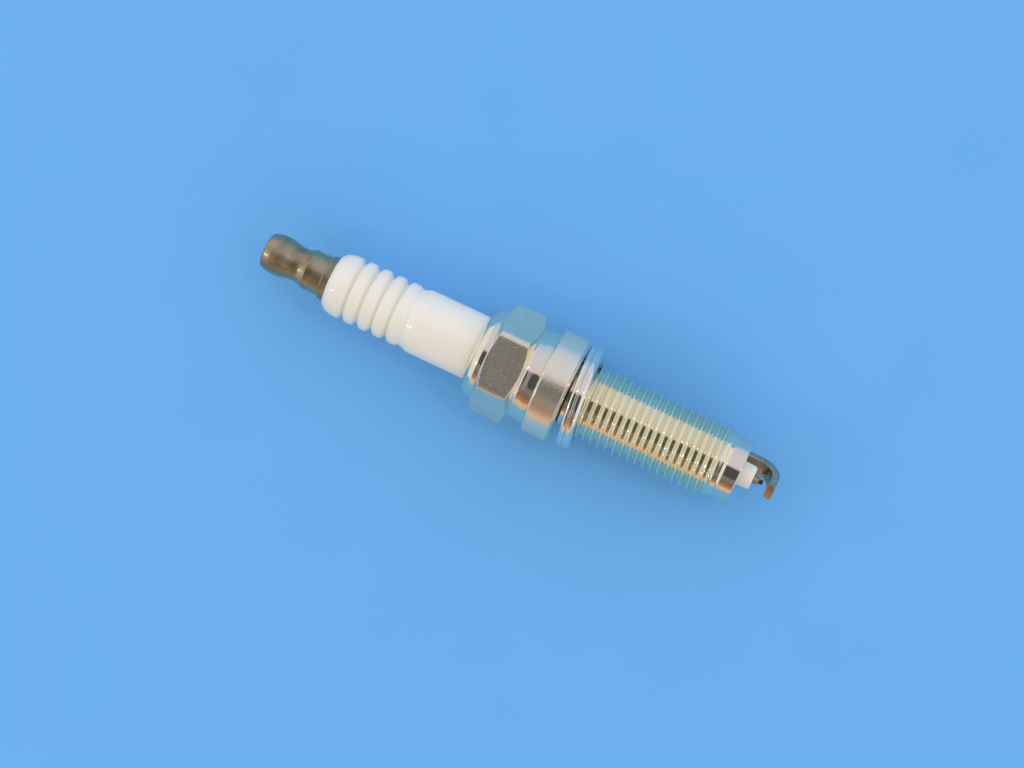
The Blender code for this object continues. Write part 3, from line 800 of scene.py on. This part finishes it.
def make_floor():
    """A wide sheet of plain paper, a hair below the lowest point of the plug."""
    gap = 0.00002
    half_size = 1.6
    bm = bmesh.new()
    bmesh.ops.create_grid(bm, x_segments=2, y_segments=2, size=half_size)
    mesh = bpy.data.meshes.new("floor")
    bm.to_mesh(mesh)
    bm.free()
    floor = bpy.data.objects.new("floor", mesh)
    floor.location = (0.0, 0.0, cad_box[0][2] - gap)
    bpy.context.scene.collection.objects.link(floor)
    look = Look("pale_paper", Roughness=0.85)
    look.shader.inputs["Specular IOR Level"].default_value = 0.1
    grain = look.noise(60.0, 3.0, 0.5)
    look.color(look.ramp(grain, ((0.3, (0.155, 0.462, 0.895)), (0.7, (0.161, 0.472, 0.905)))))
    mesh.materials.append(look.material)


def view_axes():
    """Directions of the view: towards the camera, to the right and up in the frame."""
    toward = Vector((
        math.sin(TILT_ALONG),
        math.cos(TILT_ALONG) * math.sin(TILT_ACROSS),
        math.cos(TILT_ALONG) * math.cos(TILT_ACROSS),
    )).normalized()
    level = Vector((1.0, 0.0, 0.0)) - toward * toward.x
    level.normalize()
    side = toward.cross(level)
    right = level * math.cos(ROLL) + side * math.sin(ROLL)
    up = toward.cross(right)
    return toward, right, up


def make_camera():
    """A long lens above the plug, aimed near the middle of its length."""
    toward, right, up = view_axes()
    data = bpy.data.cameras.new("camera")
    data.lens = 100.0
    data.sensor_width = 36.0
    data.clip_start = 0.01
    camera = bpy.data.objects.new("camera", data)
    bpy.context.scene.collection.objects.link(camera)
    target = Vector((-8.75, 0.0, 0.0)) - right * 1.08 - up * 2.46
    place = (target + toward * VIEW_DISTANCE) * MM
    turn = Matrix((right, up, toward)).transposed()
    camera.matrix_world = Matrix.Translation(place) @ turn.to_4x4()
    bpy.context.scene.camera = camera


def add_lamp(name, direction, size, power):
    """A small rectangular lamp that faces the plug from a direction; size is in metres."""
    data = bpy.data.lights.new(name, "AREA")
    data.shape = "RECTANGLE"
    data.size, data.size_y = size
    data.energy = power
    light = bpy.data.objects.new(name, data)
    direction = Vector(direction).normalized()
    light.location = direction * LAMP_DISTANCE
    light.rotation_euler = direction.to_track_quat("Z", "Y").to_euler()
    bpy.context.scene.collection.objects.link(light)


def make_world():
    """A light tent: bright all round, with a dark round opening above and a warm low band."""
    world = bpy.data.worlds.new("light_tent")
    world.use_nodes = True
    nodes = world.node_tree.nodes
    links = world.node_tree.links
    coords = nodes.new("ShaderNodeTexCoord").outputs["Generated"]

    opening = nodes.new("ShaderNodeMapping")
    opening.vector_type = "TEXTURE"
    opening.inputs["Rotation"].default_value = (math.radians(10.5), 0.0, 0.0)
    opening.inputs["Scale"].default_value = (0.44, 0.345, 50.0)
    links.new(coords, opening.inputs["Vector"])
    length = nodes.new("ShaderNodeVectorMath")
    length.operation = "LENGTH"
    links.new(opening.outputs["Vector"], length.inputs[0])
    rim = nodes.new("ShaderNodeMapRange")
    rim.interpolation_type = "SMOOTHSTEP"
    rim.inputs["From Min"].default_value = 0.9
    rim.inputs["From Max"].default_value = 1.06
    links.new(length.outputs["Value"], rim.inputs["Value"])

    split = nodes.new("ShaderNodeSeparateXYZ")
    links.new(coords, split.inputs["Vector"])
    angle = nodes.new("ShaderNodeMath")
    angle.operation = "ARCTAN2"
    links.new(split.outputs["Y"], angle.inputs[0])
    links.new(split.outputs["Z"], angle.inputs[1])
    share = nodes.new("ShaderNodeMapRange")
    share.inputs["From Min"].default_value = -math.pi
    share.inputs["From Max"].default_value = math.pi
    links.new(angle.outputs[0], share.inputs["Value"])
    bands = nodes.new("ShaderNodeValToRGB")
    while len(bands.color_ramp.elements) < len(TENT_BANDS):
        bands.color_ramp.elements.new(0.5)
    for element, (degrees, color) in zip(bands.color_ramp.elements, TENT_BANDS):
        element.position = (degrees + 180.0) / 360.0
        element.color = (*color, 1.0)
    links.new(share.outputs["Result"], bands.inputs["Fac"])

    reach = nodes.new("ShaderNodeMath")
    reach.operation = "ABSOLUTE"
    links.new(split.outputs["X"], reach.inputs[0])
    ends = nodes.new("ShaderNodeMapRange")
    ends.interpolation_type = "SMOOTHSTEP"
    ends.inputs["From Min"].default_value = 0.42
    ends.inputs["From Max"].default_value = 0.62
    links.new(reach.outputs[0], ends.inputs["Value"])
    sides = nodes.new("ShaderNodeMix")
    sides.data_type = "RGBA"
    sides.inputs[7].default_value = TENT_ENDS
    links.new(ends.outputs["Result"], sides.inputs[0])
    links.new(bands.outputs["Color"], sides.inputs[6])

    mix = nodes.new("ShaderNodeMix")
    mix.data_type = "RGBA"
    mix.inputs[6].default_value = TENT_OPENING
    links.new(rim.outputs["Result"], mix.inputs[0])
    links.new(sides.outputs[2], mix.inputs[7])
    background = nodes["Background"]
    background.inputs["Strength"].default_value = 1.0
    links.new(mix.outputs[2], background.inputs["Color"])
    bpy.context.scene.world = world


def make_lights():
    """The tent, three small lamps that sparkle on edges, and a broad fill that gloss ignores."""
    make_world()
    add_lamp("upper_lamp", (0.4, 0.26, 0.87), (0.028, 0.028), 0.15)
    add_lamp("lower_lamp", (0.36, -0.7, 0.62), (0.028, 0.028), 0.15)
    add_lamp("end_lamp", (-0.72, -0.4, 0.57), (0.03, 0.05), 0.3)
    data = bpy.data.lights.new("soft_fill", "SUN")
    data.energy = 1.2
    data.color = (1.0, 0.94, 0.78)
    data.angle = math.radians(170.0)
    fill = bpy.data.objects.new("soft_fill", data)
    fill.rotation_euler = Vector((0.1, 0.2, 1.0)).to_track_quat("Z", "Y").to_euler()
    fill.visible_glossy = False
    bpy.context.scene.collection.objects.link(fill)


make_shell()
make_hexagon()
make_insulator()
make_terminal()
make_center()
make_strap()
make_gasket()

INNER_LOOKS = {
    "upper_glass_seal": SEAL_GLASS, "lower_glass_seal": SEAL_GLASS, "resistor": CARBON,
    "upper_packing_ring": STEEL, "lower_packing_ring": STEEL, "seat_packing": STEEL,
    "talc_seal": TALC,
}
for node_name, look in INNER_LOOKS.items():
    for material_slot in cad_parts[node_name].material_slots:
        material_slot.material = look

make_floor()
make_camera()
make_lights()
bpy.context.scene.view_settings.view_transform = "Standard"
